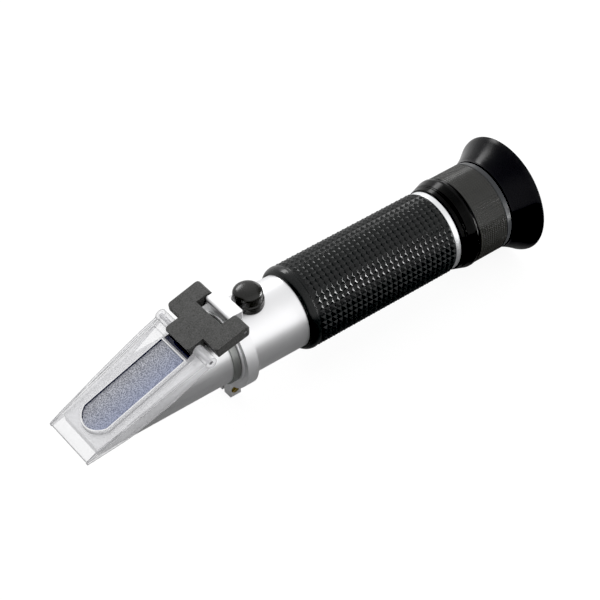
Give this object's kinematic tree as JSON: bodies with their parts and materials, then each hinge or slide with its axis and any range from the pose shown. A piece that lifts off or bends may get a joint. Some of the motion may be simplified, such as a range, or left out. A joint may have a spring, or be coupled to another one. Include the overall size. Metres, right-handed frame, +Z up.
{
  "type": "handheld refractometer",
  "caption": "Handheld refractometer: sloping prism under a hinged clear cover, clamped hinge link, rubber grip, calibration cap, focus ring and flared eyecup.",
  "frame": {"origin": "centre of the bounding box at the level of the eyecup's lowest edge, on the surface that carries the part", "axes": "+X along the tube toward the eyepiece, -X toward the prism, +Z up square to the tube, +Y completes the frame"},
  "size_m": [0.1674, 0.04, 0.04],
  "materials": {
    "satin_alloy": "satin",
    "collar_alloy": "satin",
    "bright_alloy": "fine turned",
    "dark_ring": "dark anodised",
    "inner_metal": "matt blackened",
    "steel": "turned",
    "strip_metal": "rolled",
    "brass": "turned",
    "prism_glass": "polished",
    "clear_glass": "polished",
    "cover_clear": "moulded clear plastic",
    "link_plastic": "fine texture",
    "black_plastic": "matt",
    "gloss_black": "gloss",
    "black_rubber": "matt",
    "cup_rubber": "smooth"
  },
  "bodies": {
    "instrument": {"prism_housing": "satin_alloy", "measuring_prism": "prism_glass", "prism_seal": "black_rubber", "neck_ring": "dark_ring", "hinge_collar": "collar_alloy", "clamp_screw": "brass", "main_tube": "satin_alloy", "screw_bush": "brass", "grip_sleeve": "black_rubber", "end_ring": "bright_alloy", "bimetal_strip": "strip_metal", "strip_block": "inner_metal", "strip_screws": "steel", "light_baffle": "black_plastic", "reticle": "clear_glass", "reticle_holder": "black_plastic", "housing_o_ring": "black_rubber", "rear_sleeve": "inner_metal", "focus_clip": "steel", "guide_pin": "steel"},
    "link": {"hinge_link": "link_plastic", "link_pin": "steel"},
    "cover": {"cover_plate": "cover_clear", "cover_pin": "steel"},
    "cap": {"calibration_cap": "gloss_black"},
    "objective": {"objective_cell": "black_plastic", "objective_lens": "clear_glass", "objective_ring": "black_plastic"},
    "screw": {"calibration_screw": "steel"},
    "ring": {"focus_ring": "gloss_black"},
    "eyepiece": {"eyepiece_barrel": "black_plastic", "eyecup": "cup_rubber", "field_lens": "clear_glass", "lens_spacer": "inner_metal", "eye_lens": "clear_glass", "lens_ring": "black_plastic"}
  },
  "joints": [
    {"name": "link_hinge", "type": "hinge", "parent": "instrument", "child": "link", "pos_m": [-0.0285, 0, 0.0349], "axis": [0, 1, 0], "range_deg": [0, 90]},
    {"name": "cover_hinge", "type": "hinge", "parent": "link", "child": "cover", "pos_m": [-0.0413, 0, 0.0307], "axis": [0, 1, 0], "range_deg": [0, 45]},
    {"name": "cap_pull", "type": "slide", "parent": "instrument", "child": "cap", "axis": [0, 0, 1], "range_m": [0, 0.008]},
    {"name": "objective_shift", "type": "slide", "parent": "instrument", "child": "objective", "axis": [0, 0, 1], "range_m": [-0.00025, 0.00025]},
    {"name": "screw_turn", "type": "hinge", "parent": "objective", "child": "screw", "pos_m": [-0.0186, 0, 0.032], "axis": [0, 0, 1], "range_deg": [-180, 180]},
    {"name": "ring_turn", "type": "hinge", "parent": "instrument", "child": "ring", "pos_m": [0.06, 0, 0.02], "axis": [1, 0, 0], "range_deg": [0, 270]},
    {"name": "eyepiece_slide", "type": "slide", "parent": "instrument", "child": "eyepiece", "axis": [1, 0, 0], "range_m": [0, 0.003]}
  ],
  "couplings": [
    {"joint": "screw_turn", "follows": "objective_shift", "rad_per_m": 12566},
    {"joint": "eyepiece_slide", "follows": "ring_turn", "m_per_rad": 0.0006366}
  ]
}
